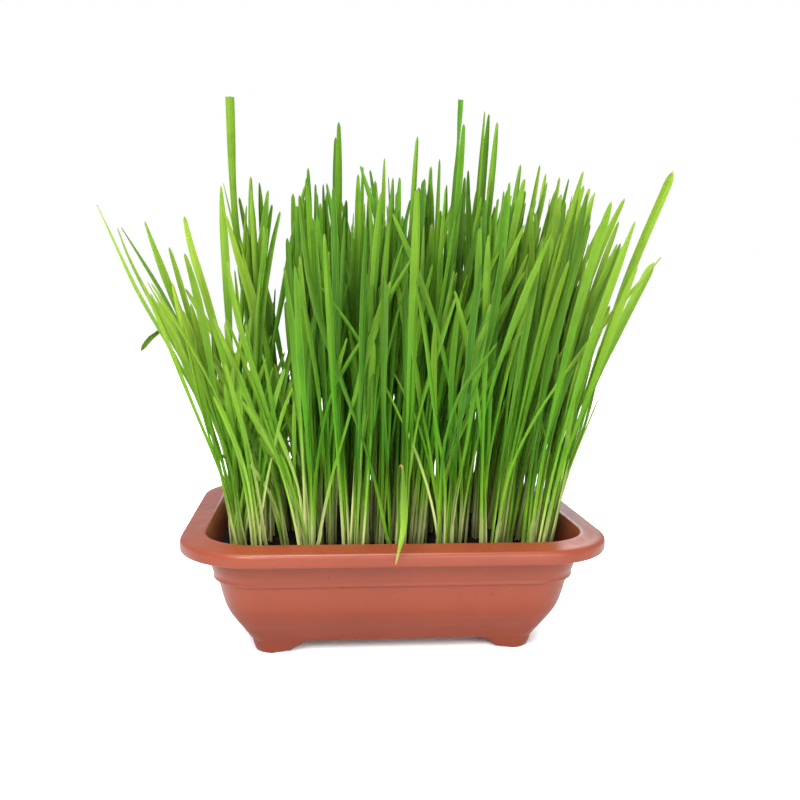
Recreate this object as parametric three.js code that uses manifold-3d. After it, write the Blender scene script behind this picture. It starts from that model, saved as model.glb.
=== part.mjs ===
// Wheatgrass growing in a rectangular plastic planter with four corner feet.
// Millimetres, +Z up, X along the planter's length. The origin is under the middle of the planter,
// on the surface that its feet stand on.

import * as THREE from "three";
import { mergeVertices } from "three/addons/utils/BufferGeometryUtils.js";
import Module from "manifold-3d";

// ---- Planter ----
const PLANTER_LENGTH = 210;
const PLANTER_DEPTH = 170;
const LIP_CORNER_RADIUS = 39; // lower sections are concentric with the lip
const SMALLEST_CORNER_RADIUS = 8;
const CORNER_STEPS = 7;

// Wall profiles as [inset from the lip's outline, height].
const OUTER_WALL = [
  [36.2, 0], [35.5, 1.8], [34.4, 5.8], [32.7, 9.3], [30.2, 13.2], [27.3, 17], [23.7, 22], [21.3, 27],
  [19.6, 33], [18.2, 38.5], [16.5, 39.8], [15.5, 42.2], [14.7, 45], [13.8, 54], [13.6, 59.2],
];
const ROLLED_RIM = [
  [2.4, 59], [2, 54], [0.3, 54], [0, 55], [0, 59], [0.9, 60.4], [6, 61.2], [11.2, 61.7],
];
const INNER_WALL = [
  [12.6, 60.9], [14, 58.5], [15.2, 54], [16.9, 45], [18.2, 41.2], [20.5, 38.8], [22, 33], [24.4, 25.4],
  [27.8, 20], [32.4, 15.2], [37, 11.6], [42, 9.4], [48, 8.2],
];

// Underside: two crossing arches cut the base into four corner feet. Each arch is [half span at
// the ground, half span at the ceiling].
const UNDERSIDE = 6.3;
const ARCH_BETWEEN_ENDS = [56, 44];
const ARCH_BETWEEN_SIDES = [37, 25];
const ARCH_POWER = 1.6; // its sides leave the ground gently and meet the ceiling at an angle
const ARCH_STEPS = 5;

const DRAIN_HOLE_RADIUS = 3.5;
const DRAIN_HOLES = [[-40, 0], [0, 0], [40, 0], [-20, 18], [20, -18]];

// ---- Soil and root plugs ----
const SOIL_TOP = 50;
const SOIL_EDGE_INSET = 16.8; // where the soil meets the wall, just under its top
const SOIL_EDGE_BEVEL = [1.2, 2]; // its worn edge: [width, drop]
const FIT_GAP = 0.35; // clear space between neighbouring pieces
const PLUG_PITCH = 22;
const PLUG_ROWS = [[-56, 7], [-37.4, 8], [-18.7, 7], [0, 8], [18.7, 7], [37.4, 8], [56, 7]]; // [y, plugs]
const PLUG_SIDES = 8;
const PLUG_TOP_RADIUS = 9;
const PLUG_FOOT_RADIUS = 7.6;
const PLUG_DEPTH = 11;
const PLUG_JITTER = 0.7;

// ---- Plants ----
const PLANTS_PER_PLUG = 5;
const PLANT_RING_RADIUS = 5.8; // plants stand in a ring round the plug's middle
const ROOT_LENGTH = 4; // how far a stem reaches into its plug
const STEM = { width: 2.1, thickness: 1.5 };
const BLADE_WIDTH = 3.9;
const BLADE_THICKNESS = 0.75;
const LEAF_CLEARANCE = 0.8;
const FAN = 66; // how far outwards the leaves at the planter's ends lean
// The canopy between those: its highest tips along the planter as [x, height], and how far below them
// the others end.
const CANOPY_LINE = [[-150, 150], [-96, 165], [-88, 226], [-60, 238], [100, 244], [130, 205], [150, 160]];
const CANOPY_DEPTH = { usual: 62, few: 140 };
const SHORT = { share: 0.05, within: 60 }; // how many of the plants this near the middle are those few
const AIM_SPREAD = { x: 17, y: 14 }; // how far a tip strays from its place in the fan
const STRAYS = { share: 0.15, times: 2.2 }; // some stray that many times as far
const KNEE = { along: 0.08, rise: [0.26, 0.38] }; // where a leaf begins to lean, as shares of its way
const THIN_END = { beyond: -48, share: 0.6 }; // past this x only a share of the plants has grown
const REACH = { y: 92, left: [76, 0.22], right: [79, 0.31] }; // an end's [reach at the soil, slope]
const FRONT = { drop: 0.16, narrowing: 0.22 }; // how the canopy closes in, per mm ahead of its middle

// Leaves that stand out above the rest, as [tip x, tip y, tip height, width].
const TALL_LEAVES = [
  [36, 5, 282, 3], [52, 20, 280, 3.6], [-29, 0, 267, 4], [53, -10, 268, 3.8],
  [32, -30, 262, 3.2], [12, -5, 260, 3.6], [63, 45, 258, 3.4], [24, 30, 251, 3.6], [-4, 10, 251, 2.8],
  [103, 0, 246, 3.4], [75, -15, 246, 3.8], [92, 35, 250, 3.4], [72, 15, 251, 3.2], [61, -40, 235, 3.6],
  [80, -35, 237, 3.6], [49, -60, 230, 3.4], [18, -45, 242, 3.6], [37, 55, 245, 3.2], [1, -25, 236, 3.8],
  [-12, -50, 226, 3.8], [-9, 50, 241, 3.2], [-15, 20, 248, 3.2], [-20, -30, 236, 3.6],
  [-37, -15, 233, 3.8], [-40, 45, 236, 3.2], [-45, -35, 229, 3.8], [-45, 25, 247, 3.6],
  [-30, 25, 264, 4.4], [-90, 15, 236, 3.4], [-119, -60, 181, 2.6],
  [-87, -60, 165, 3.4], [100, -30, 231, 4.6], [112, 30, 232, 3.4], [80, -60, 215, 3.4],
  [97, -55, 211, 3.6], [121, 20, 221, 3.4], [124, 0, 220, 3.4], [111, -40, 205, 3.6],
  [144, 40, 212, 3.2], [10, 92, 214, 3.4],
];
const CUT_LEAVES = 1; // the first of them was cut, so it ends square

// Leaves with a way of their own: points along the middle of the leaf from its foot, and its width.
const ODD_LEAVES = [
  {
    width: 4.8, cut: true,
    path: [[-60, -14, 46], [-63, -14, 80], [-69, -12, 130], [-77, -11, 180], [-82, -10, 228],
      [-84, -10, 275]],
  },
  { width: 3.6, path: [[52, -58, 46], [51, -60, 75], [60, -63, 110], [90, -66, 158], [121, -68, 197]] },
  {
    width: 3, bent: true,
    path: [[1, -61, 46], [0, -63, 72], [-1, -70, 92], [-1, -80, 102], [-1, -86, 98], [-1, -89.5, 88],
      [-1, -91, 73], [-4, -91.7, 57]],
  },
  {
    width: 2.8, bent: true,
    path: [[-76, 0, 46], [-83, 0, 80], [-106, 2, 139], [-116, 2, 160], [-125, 2, 155], [-132, 2, 146]],
  },
  {
    width: 2.4,
    path: [[-81, -35, 46], [-82, -35, 80], [-103, -30, 134], [-127, -20, 174], [-150, -10, 220]],
  },
  { width: 3.4, path: [[-80, -3, 46], [-86, -3, 86], [-111, -5, 147], [-133, -6, 188], [-141, -6, 209]] },
  { width: 3.2, path: [[-79, 4, 46], [-85, 5, 85], [-102, 8, 131], [-124, 11, 180], [-143, 12, 211]] },
  { width: 5.2, path: [[-80, 34, 46], [-86, 33, 78], [-107, 31, 141], [-122, 29, 183], [-134, 28, 216]] },
  { width: 4.2, path: [[-75, 40, 46], [-82, 40, 70], [-104, 40, 137], [-117, 40, 183], [-123, 40, 203]] },
  { width: 4.6, path: [[-69, -53, 46], [-71, -53, 90], [-88, -48, 162], [-97, -46, 190], [-102, -44, 212]] },
  { width: 4.8, path: [[-75, -41, 46], [-77, -43, 80], [-91, -50, 143], [-93, -54, 168], [-100, -58, 194]] },
  { width: 5, path: [[-76, -33, 46], [-76, -33, 75], [-81, -30, 130], [-84, -28, 180], [-87, -25, 229]] },
  { width: 3.8, path: [[-70, 36, 46], [-74, 36, 75], [-76, 36, 134], [-77, 36, 190], [-77, 36, 243]] },
  { width: 4.6, path: [[-67, 16, 46], [-71, 15, 75], [-72, 15, 130], [-69, 15, 190], [-71, 15, 237]] },
  { width: 4.8, path: [[-64, -20, 46], [-69, -19, 75], [-63, -15, 149], [-53, -11, 200], [-46, -8, 233]] },
  { width: 3.4, path: [[-69, -22, 46], [-72, -23, 75], [-70, -25, 124], [-64, -28, 190], [-58, -30, 217]] },
  { width: 4.4, path: [[80, -35, 46], [89, -34, 78], [104, -29, 133], [122, -25, 170], [136, -22, 197]] },
  { width: 4.6, path: [[80, -3, 46], [90, -4, 80], [105, -5, 120], [128, -8, 190], [149, -10, 246]] },
  { width: 2.6, path: [[-68, -58, 46], [-73, -64, 62], [-80, -71, 77], [-87, -77, 90]] },
  { width: 2.2, path: [[74, -46, 46], [77, -50, 60], [82, -55, 72], [87, -58, 80]] },
  { width: 3.6, path: [[-9, -60, 46], [-13, -61, 90], [-23, -63, 122], [-42, -67, 178], [-48, -70, 220]] },
  { width: 3.4, path: [[-51, -50, 46], [-52, -51, 78], [-65, -54, 128], [-76, -56, 161], [-81, -58, 191]] },
  { width: 2.8, path: [[-38, -50, 46], [-38, -54, 100], [-29, -59, 140], [-11, -62, 168], [6, -66, 198]] },
  { width: 3.2, path: [[24, -58, 46], [22, -61, 85], [16, -66, 120], [12, -69, 148], [2, -74, 193]] },
  { width: 4.3, path: [[16, -50, 46], [22, -53, 90], [34, -55, 118], [50, -58, 154], [71, -64, 219]] },
  { width: 3.4, path: [[14, -63, 46], [18, -68, 90], [25, -73, 129], [42, -77, 156]] },
  { width: 3.6, path: [[26, -42, 46], [25, -50, 127], [31, -54, 168], [46, -58, 200]] },
  { width: 3, path: [[80, -40, 46], [86, -43, 78], [93, -45, 108], [99, -48, 138]] },
];

// Partings where the canopy can be seen through above this height, as [x at 120 mm, x at 240 mm, half width].
const PARTINGS_FROM = 135;
const PARTINGS = [[-59, -60, 4.5], [-84, -97, 6], [96, 132, 3.5]];

// Chips of bark on the soil, as [x, y, length, width, thickness, turn in degrees].
const BARK_CHIPS = [[30, -26, 9, 4.5, 1.8, 24], [-34, 30, 7, 4, 1.5, -50], [58, 46, 8, 3.6, 1.6, 70]];

const COLOURS = {
  planter: { color: 0xb35d46, roughness: 0.42, metalness: 0 },
  soil: { color: 0x241d17, roughness: 0.95, metalness: 0 },
  bark: { color: 0x6b3f2a, roughness: 0.9, metalness: 0 },
  leaf: { color: 0x5f9a2c, roughness: 0.5, metalness: 0 },
};

const wasm = await Module();
wasm.setup();

// A repeatable stream of numbers from 0 to 1.
let seed = 20317;
function random() {
  seed = (seed + 0x6d2b79f5) | 0;
  let mixed = Math.imul(seed ^ (seed >>> 15), 1 | seed);
  mixed = (mixed + Math.imul(mixed ^ (mixed >>> 7), 61 | mixed)) ^ mixed;
  return ((mixed ^ (mixed >>> 14)) >>> 0) / 4294967296;
}
const between = (low, high) => low + (high - low) * random();
const spread = (size) => size * (random() + random() + random() - 1.5); // bell-shaped, within 1.5 sizes

// ---- Solids ----

function toSolid(geometry) {
  const bare = new THREE.BufferGeometry().setAttribute("position", geometry.getAttribute("position"));
  if (geometry.index) bare.setIndex(geometry.index);
  const merged = mergeVertices(bare, 1e-4);
  const mesh = new wasm.Mesh({
    numProp: 3,
    vertProperties: merged.getAttribute("position").array,
    triVerts: Uint32Array.from(merged.index.array),
  });
  return new wasm.Manifold(mesh);
}

function toGeometry(solid) {
  const { vertProperties, triVerts, numProp } = solid.getMesh();
  if (numProp !== 3) throw new Error("a solid carries more than positions");
  const geometry = new THREE.BufferGeometry();
  geometry.setAttribute("position", new THREE.BufferAttribute(vertProperties, 3));
  geometry.setIndex(new THREE.BufferAttribute(triVerts, 1));
  return geometry;
}

// The skin through sections that run anticlockwise when looked at from ahead. It is closed by a flat
// face at the first section and by another, or by a point, past the last.
function loft(sections, point) {
  const count = sections[0].length;
  const points = sections.flat();
  const last = points.length - count;
  const faces = [];
  for (let i = 1; i + 1 < count; i++) {
    faces.push(0, i + 1, i);
    if (!point) faces.push(last, last + i, last + i + 1);
  }
  for (let start = 0; start < last; start += count) {
    for (let i = 0; i < count; i++) {
      const here = start + i;
      const next = start + ((i + 1) % count);
      faces.push(here, next, next + count, here, next + count, here + count);
    }
  }
  if (point) {
    for (let i = 0; i < count; i++) faces.push(last + i, last + ((i + 1) % count), points.length);
    points.push(point);
  }
  return new THREE.BufferGeometry().setFromPoints(points).setIndex(faces);
}

// A level rounded rectangle, inset from the planter's outline.
function planterSection([inset, height]) {
  const radius = Math.max(LIP_CORNER_RADIUS - inset, SMALLEST_CORNER_RADIUS);
  const centreX = PLANTER_LENGTH / 2 - inset - radius;
  const centreY = PLANTER_DEPTH / 2 - inset - radius;
  const points = [];
  for (const [signX, signY, quarter] of [[1, 1, 0], [-1, 1, 1], [-1, -1, 2], [1, -1, 3]]) {
    for (let i = 0; i <= CORNER_STEPS; i++) {
      const angle = (quarter + i / CORNER_STEPS) * (Math.PI / 2);
      const x = signX * centreX + radius * Math.cos(angle);
      const y = signY * centreY + radius * Math.sin(angle);
      points.push(new THREE.Vector3(x, y, height));
    }
  }
  return points;
}

// A level polygon, the section of a root plug or its pocket.
function plugSection(x, y, radius, height) {
  const points = [];
  for (let i = 0; i < PLUG_SIDES; i++) {
    const angle = ((i + 0.5) / PLUG_SIDES) * 2 * Math.PI;
    points.push(new THREE.Vector3(x + radius * Math.cos(angle), y + radius * Math.sin(angle), height));
  }
  return points;
}

// ---- Planter ----

// The arch that opens the base between two feet, as a prism along Y.
function archPrism([spanAtGround, spanAtCeiling], length) {
  const side = [];
  for (let i = 0; i <= ARCH_STEPS; i++) {
    const t = i / ARCH_STEPS;
    const rise = UNDERSIDE * t ** ARCH_POWER;
    side.push(new THREE.Vector2(THREE.MathUtils.lerp(spanAtGround, spanAtCeiling, t), rise));
  }
  const outline = [
    new THREE.Vector2(-spanAtGround, -1),
    new THREE.Vector2(spanAtGround, -1),
    ...side,
    ...side.map((p) => new THREE.Vector2(-p.x, p.y)).reverse(),
  ];
  const prism = new THREE.ExtrudeGeometry(new THREE.Shape(outline), { depth: length, bevelEnabled: false });
  return prism.translate(0, 0, -length / 2).rotateX(Math.PI / 2);
}

function planterGeometry() {
  const walls = [...OUTER_WALL, ...ROLLED_RIM, ...INNER_WALL].map(planterSection);
  let planter = toSolid(loft(walls));
  const cuts = [
    archPrism(ARCH_BETWEEN_ENDS, PLANTER_DEPTH),
    archPrism(ARCH_BETWEEN_SIDES, PLANTER_LENGTH).rotateZ(Math.PI / 2),
  ];
  for (const [x, y] of DRAIN_HOLES) {
    const hole = new THREE.CylinderGeometry(DRAIN_HOLE_RADIUS, DRAIN_HOLE_RADIUS, 12, 12);
    cuts.push(hole.rotateX(Math.PI / 2).translate(x, y, UNDERSIDE));
  }
  for (const cut of cuts) planter = planter.subtract(toSolid(cut));
  return toGeometry(planter);
}

// ---- Soil ----

function plugPlaces() {
  const places = [];
  for (const [y, plugs] of PLUG_ROWS) {
    for (let i = 0; i < plugs; i++) {
      const x = (i - (plugs - 1) / 2) * PLUG_PITCH;
      places.push({ x: x + between(-PLUG_JITTER, PLUG_JITTER), y: y + between(-PLUG_JITTER, PLUG_JITTER) });
    }
  }
  return places;
}

function soilGeometry(places) {
  const below = INNER_WALL.filter(([, height]) => height < SOIL_TOP - 4).reverse();
  const sections = below.map(([inset, height]) => [inset + FIT_GAP, height + FIT_GAP]);
  const [bevel, drop] = SOIL_EDGE_BEVEL;
  sections.push([SOIL_EDGE_INSET, SOIL_TOP - drop], [SOIL_EDGE_INSET + bevel, SOIL_TOP]);
  let soil = toSolid(loft(sections.map(planterSection)));
  for (const { x, y } of places) {
    const floor = plugSection(x, y, PLUG_FOOT_RADIUS + FIT_GAP, SOIL_TOP - PLUG_DEPTH - FIT_GAP);
    const mouth = plugSection(x, y, PLUG_TOP_RADIUS + FIT_GAP, SOIL_TOP + FIT_GAP);
    soil = soil.subtract(toSolid(loft([floor, mouth])));
  }
  return toGeometry(soil);
}

// ---- Leaves ----

// How a leaf widens above its stem, as [share of its length, share of its width].
const BLADE = [[0.3, 0.6], [0.54, 0.95], [0.76, 1], [0.93, 0.5]];
const CUT_BLADE = [[0.3, 0.6], [0.56, 0.9], [0.8, 1], [0.995, 0.9]];
const BENT_BLADE = [[0.25, 0.5], [0.38, 0.6], [0.5, 0.7], [0.6, 0.9], [0.72, 1], [0.84, 0.9], [0.94, 0.5]];

// A leaf along a curve, from a stem in the root plug to a flat three-sided blade. It has more width and
// thickness by the clearance that is asked for. The facing is the way the blade's width points.
function leafSolid({ curve, width, facing, twist, cut, bent }, clearance = 0) {
  const length = curve.getLength();
  const above = (ROOT_LENGTH + 1.5) / length;
  const blade = cut ? CUT_BLADE : bent ? BENT_BLADE : BLADE;
  const sections = [[0, 0], [above, 0], ...blade].map(([along, fullness], i) => {
    const centre = curve.getPointAt(along);
    const tangent = curve.getTangentAt(along);
    const angle = facing + twist * along;
    const across = new THREE.Vector3(Math.cos(angle), Math.sin(angle), 0);
    across.addScaledVector(tangent, -across.dot(tangent)).normalize();
    const back = new THREE.Vector3().crossVectors(tangent, across);
    const isStem = i < 2;
    const size = (isStem ? STEM.width : Math.max(STEM.width, width * fullness)) + clearance;
    const depth = (isStem ? STEM.thickness : BLADE_THICKNESS) + clearance;
    const corner = (sideways, backwards) =>
      centre.clone().addScaledVector(across, sideways * size).addScaledVector(back, backwards * depth);
    return [corner(-0.5, -1 / 3), corner(0.5, -1 / 3), corner(0, 2 / 3)];
  });
  return toSolid(loft(sections, curve.getPointAt(1)));
}

function boxesMeet(a, b) {
  return [0, 1, 2].every((k) => a.min[k] < b.max[k] && b.min[k] < a.max[k]);
}

const planted = [];

// Plants the leaf if it stays clear of every leaf that is there already.
function plant(leaf, plug) {
  const roomy = leafSolid(leaf, LEAF_CLEARANCE);
  const box = roomy.boundingBox();
  for (const other of planted) {
    if (boxesMeet(box, other.box) && roomy.intersect(other.solid).volume() > 0) return false;
  }
  const solid = leafSolid(leaf);
  planted.push({ solid, box: solid.boundingBox() });
  plug.leaves.push(solid);
  return true;
}

// Where a leaf's tip would be if it followed the canopy's fan, and the other way round.
const FAN_CURVE = FAN / (PLANTER_LENGTH / 2 - 17) ** 2;
const fannedTip = (x) => x + Math.sign(x) * FAN_CURVE * x * x;
const footBelow = (tipX) =>
  (Math.sign(tipX) * (Math.sqrt(1 + 4 * FAN_CURVE * Math.abs(tipX)) - 1)) / (2 * FAN_CURVE);

// A stem that rises nearly straight and then leans towards its tip.
function leaningCurve(foot, tip) {
  const root = new THREE.Vector3(foot.x, foot.y, SOIL_TOP - ROOT_LENGTH);
  const kneeHeight = THREE.MathUtils.lerp(root.z, tip.z, between(...KNEE.rise));
  const knee = root.clone().lerp(tip, KNEE.along).setZ(kneeHeight);
  return new THREE.QuadraticBezierCurve3(root, knee, tip);
}

// The height at x of a line through [x, height] points.
function heightAlong(line, x) {
  let end = 1;
  while (end + 1 < line.length && line[end][0] < x) end++;
  const [[x1, height1], [x2, height2]] = line.slice(end - 1, end + 1);
  return THREE.MathUtils.mapLinear(x, x1, x2, height1, height2);
}

function throughParting(curve) {
  return [0.45, 0.6, 0.75, 0.88, 1].some((along) => {
    const { x, z } = curve.getPointAt(along);
    return PARTINGS.some(([low, high, half]) => {
      const middle = THREE.MathUtils.mapLinear(z, 120, 240, low, high);
      return z > PARTINGS_FROM && Math.abs(x - middle) < half;
    });
  });
}

function nearest(places, x, y) {
  const distance = (place) => Math.hypot(place.x - x, place.y - y);
  return places.reduce((best, place) => (distance(place) < distance(best) ? place : best));
}

function plantAll(plugs) {
  for (const { width, path, cut, bent } of ODD_LEAVES) {
    const points = path.map((p) => new THREE.Vector3(...p));
    const plug = nearest(plugs, points[0].x, points[0].y);
    points[0].x = THREE.MathUtils.clamp(points[0].x, plug.x - 4, plug.x + 4);
    points[0].y = THREE.MathUtils.clamp(points[0].y, plug.y - 4, plug.y + 4);
    const curve = new THREE.CatmullRomCurve3(points);
    const leaf = { curve, width, facing: 0, twist: 0.3, cut, bent };
    if (!plant(leaf, plug)) throw new Error("an odd leaf meets another");
  }

  const feet = [];
  for (const plug of plugs) {
    const turn = between(0, Math.PI / 2);
    for (let i = 0; i < PLANTS_PER_PLUG; i++) {
      const angle = turn + (i / PLANTS_PER_PLUG) * 2 * Math.PI + between(-0.25, 0.25);
      const radius = PLANT_RING_RADIUS + between(-0.8, 0.8);
      feet.push({ plug, x: plug.x + radius * Math.cos(angle), y: plug.y + radius * Math.sin(angle) });
    }
  }

  const waiting = new Set(feet);
  TALL_LEAVES.forEach(([x, y, height, width], index) => {
    const tip = new THREE.Vector3(x, y, height);
    for (let tries = 0; tries < 30; tries++) {
      const reach = 4 + tries / 2;
      const foot = nearest([...waiting], footBelow(x) + spread(reach), y * 0.8 + spread(reach));
      const curve = leaningCurve(foot, tip);
      const leaf = { curve, width, facing: spread(0.5), twist: spread(0.3), cut: index < CUT_LEAVES };
      if (!plant(leaf, foot.plug)) continue;
      waiting.delete(foot);
      return;
    }
    throw new Error(`no room for the tall leaf at ${x}, ${y}`);
  });

  for (const foot of waiting) {
    if (foot.x < THIN_END.beyond && random() > THIN_END.share) continue;
    for (let tries = 0; tries < 60; tries++) {
      const stray = random() < STRAYS.share ? STRAYS.times : 1;
      const isShort = Math.abs(foot.x) < SHORT.within && random() < SHORT.share;
      const depth = isShort ? CANOPY_DEPTH.few : CANOPY_DEPTH.usual;
      const aim = fannedTip(foot.x) + spread(AIM_SPREAD.x * stray);
      const y = THREE.MathUtils.clamp(foot.y * 1.25 + spread(AIM_SPREAD.y * stray), -REACH.y, REACH.y);
      const ahead = Math.max(0, -y);
      const height = heightAlong(CANOPY_LINE, aim) - depth * random() ** 1.5 - FRONT.drop * ahead;
      const reachAt = ([start, slope]) => start + slope * (height - SOIL_TOP) - FRONT.narrowing * ahead;
      const x = THREE.MathUtils.clamp(aim, -reachAt(REACH.left), reachAt(REACH.right));
      const curve = leaningCurve(foot, new THREE.Vector3(x, y, height));
      if (throughParting(curve)) continue;
      const leaf = { curve, width: BLADE_WIDTH + spread(0.7), facing: spread(0.8), twist: spread(0.5) };
      if (plant(leaf, foot.plug)) break;
    }
  }
}

// The root plug with its leaves joined to it.
function tuftGeometry({ x, y, leaves }) {
  const bottom = plugSection(x, y, PLUG_FOOT_RADIUS, SOIL_TOP - PLUG_DEPTH);
  const top = plugSection(x, y, PLUG_TOP_RADIUS, SOIL_TOP);
  let tuft = toSolid(loft([bottom, top]));
  for (const leaf of leaves) tuft = tuft.add(leaf);
  return toGeometry(tuft);
}

function barkGeometry([x, y, length, width, thickness, turn]) {
  const outline = [[-0.5, -0.3], [-0.1, -0.5], [0.5, -0.25], [0.4, 0.35], [-0.2, 0.5]];
  const at = (height, share) =>
    outline.map(([u, v]) => new THREE.Vector3(u * length * share, v * width * share, height));
  const chip = loft([at(0, 0.9), at(thickness * 0.6, 1), at(thickness, 0.75)]);
  return chip.rotateZ(THREE.MathUtils.degToRad(turn)).translate(x, y, SOIL_TOP + FIT_GAP);
}

// ---- Assembly ----

const group = new THREE.Group();

function addPiece(name, geometry, look) {
  geometry.computeVertexNormals();
  const mesh = new THREE.Mesh(geometry, new THREE.MeshStandardMaterial({ flatShading: true, ...look }));
  mesh.name = name;
  group.add(mesh);
}

const plugs = plugPlaces().map((place) => ({ ...place, leaves: [] }));
plantAll(plugs);

addPiece("planter", planterGeometry(), COLOURS.planter);
addPiece("soil", soilGeometry(plugs), COLOURS.soil);
plugs.forEach((plug, i) => {
  addPiece(`tuft_${String(i + 1).padStart(2, "0")}`, tuftGeometry(plug), COLOURS.leaf);
});
BARK_CHIPS.forEach((chip, i) => addPiece(`bark_chip_${i + 1}`, barkGeometry(chip), COLOURS.bark));

export default group;
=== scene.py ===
import math
import random

import bmesh
import bpy
import numpy as np
from mathutils import Matrix, Vector, noise


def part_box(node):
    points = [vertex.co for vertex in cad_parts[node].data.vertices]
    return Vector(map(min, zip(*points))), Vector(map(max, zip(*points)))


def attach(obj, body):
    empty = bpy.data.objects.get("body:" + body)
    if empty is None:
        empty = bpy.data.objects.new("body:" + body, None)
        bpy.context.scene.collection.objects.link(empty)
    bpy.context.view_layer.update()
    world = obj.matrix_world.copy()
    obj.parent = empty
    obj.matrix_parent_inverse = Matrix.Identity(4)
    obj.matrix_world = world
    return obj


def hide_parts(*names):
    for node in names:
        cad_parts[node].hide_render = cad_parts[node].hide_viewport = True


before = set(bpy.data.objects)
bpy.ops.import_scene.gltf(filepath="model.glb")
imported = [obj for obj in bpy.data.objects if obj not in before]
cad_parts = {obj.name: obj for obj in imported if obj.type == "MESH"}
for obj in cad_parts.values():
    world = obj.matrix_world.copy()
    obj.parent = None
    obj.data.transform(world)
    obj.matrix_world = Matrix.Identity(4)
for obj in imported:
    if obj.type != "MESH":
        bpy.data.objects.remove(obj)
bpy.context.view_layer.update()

MM = 0.001


def mm(*values):
    return Vector(values) * MM


# ---------------------------------------------------------------- sizes, in millimetres

PLANTER_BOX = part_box("planter")
PLANTER_LENGTH = (PLANTER_BOX[1][0] - PLANTER_BOX[0][0]) / MM
PLANTER_DEPTH = (PLANTER_BOX[1][1] - PLANTER_BOX[0][1]) / MM
SOIL_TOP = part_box("soil")[1][2] / MM
LIP_CORNER_RADIUS = 39
SMALLEST_CORNER_RADIUS = 8
UNDERSIDE = 6.3
ARCH_BETWEEN_ENDS = (44, 56)  # half spans at the ceiling and at the ground
ARCH_BETWEEN_SIDES = (25, 37)
ARCH_POWER = 1.6

# Wall profiles as [inset from the lip's outline, height]. A third value of 0 keeps a corner crisp.
OUTER_WALL = [
    (34.1, 6.9), (33.4, 8), (32.7, 9.3), (31.5, 11.3), (30.2, 13.2), (28.8, 15.1), (27.3, 17), (25.5, 19.5),
    (23.7, 22.2), (22.2, 25), (20.9, 28.5), (19.6, 33), (18.7, 36.5), (18.2, 38.5), (17.9, 39.2, 0),
    (16.4, 39.6, 0), (15.8, 40.1), (15.75, 40.8), (15.85, 41.6), (15.6, 42.8), (15.1, 44.2), (14.5, 47),
    (14.1, 51), (13.8, 55), (13.6, 58.4), (13.2, 59.1),
]
FOOT = [(36.6, 0), (35.9, 0.6), (35.4, 2), (34.8, 4), (34.4, 5.8)]
ROLLED_RIM = [
    (12, 59.2, 0), (3, 59.0, 0), (2.4, 58.4), (2.1, 54.6, 0), (1.7, 54.1, 0), (0.6, 54.05), (0.15, 54.5),
    (0, 55.4), (0, 57.6), (0.12, 58.8), (0.55, 59.7), (1.3, 60.2), (2.3, 60.45), (5, 60.8), (8.5, 61.35),
    (10.6, 61.68), (11.6, 61.7), (12.3, 61.35), (12.8, 60.6),
]
INNER_WALL = [
    (13.4, 59.6), (14.4, 57), (15.2, 54), (16, 50), (16.9, 45), (17.6, 42.6), (18.6, 40.9, 0),
    (20.2, 39.6, 0), (20.7, 38), (21.3, 35.5), (22.3, 31.5), (24.2, 26), (27.6, 20.3), (32.4, 15.2),
    (37, 11.6), (42, 9.4), (48, 8.3), (56, 8.2),
]
DRAIN_HOLES = [(-40, 0), (0, 0), (40, 0), (-20, 18), (20, -18)]
DRAIN_RADIUS = 3.5

# The soil's mounds as (x, y, reach, height), and how many loose crumbs lie on it.
MOUNDS = [
    (17, 2, 13, 9), (-18, 8, 11, 6), (50, 14, 12, 5), (-55, 10, 12, 6), (0, 45, 16, 6), (-70, -35, 10, 3),
    (30, -28, 10, 7),
]
CRUMBS = 620

RIM_TOP = PLANTER_BOX[1][2] / MM
STEM_INSET = 19.5  # stems stand at least this far in from the lip's outline
GATHERED = 0.38  # how far the stems of a tuft draw together at the soil, as a share of the way
GATHERED_BELOW = 80  # above this height over the soil they stand where the frame has them
CANOPY = 250  # the heights that the leaf material works with are shares of this, over the soil

# Where the canopy can be seen through, as (x at the lower height, x at the upper height, half width).
PARTINGS = [(-59, -60, 3.5), (-84, -97, 6), (96, 132, 2)]
PARTING_HEIGHTS = (120, 240)
PARTED_ABOVE = 145  # the partings are only kept clear above this
BRIDGED = (-80, -40)  # the first parting starts above short leaves from the shoots between these x
BRIDGE_OFFSETS = (-7, 4)  # those short leaves lean to these distances from the parting

# How far out added leaves may reach: at each end as (x at the soil, slope), and to the front and back.
REACH_LEFT, REACH_RIGHT = (-78, -0.36), (79, 0.3)
REACH_SIDE = 89

LONE_FAN = -80  # the leaves whose tips are beyond this x fan out and stand apart
FAN_TOP = 185  # leaves added to the fan end below this
ENDS = 80  # leaves whose tips are farther from the middle than this have more and wider neighbours
LONE_LEFT, LONE_RIGHT = -125, 135  # the thin leaves at the fan's edge and the broad one across from it
LONE_TALL = 246  # leaves that end above this stand out over the others
BESIDE_CUT = 0.76  # a cut leaf's neighbours follow it for at most this share of its length
STANDS_ALONE = -64  # leaves whose tips are in front of this y have no companions
SHORT = 90  # leaves shorter than this have none either
NEIGHBOUR_CHANCES = (1.0, 0.85)
END_NEIGHBOUR_CHANCES = (1.0, 1.0, 0.8)
SECOND_LEAF_CHANCES = (1.0, 0.8)
SHEATH_CHANCE = 0.35
HANGING = (-1, -52, 110)  # the middle, back and top of the space kept for the leaf that hangs over the rim
HANGING_ROOM = 4  # that space's half width
BROAD = 4.4  # leaves wider than this keep their width nearly to their tips

# The camera's angles are in radians, and its focal length is a share of the picture's width.
CAMERA_PLACE = mm(-41.1, -456.5, 170.0)
CAMERA_YAW, CAMERA_PITCH, CAMERA_ROLL = 0.102, 0.106, 0.017
FOCAL_LENGTH = 1.06
SENSOR = 36

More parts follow.
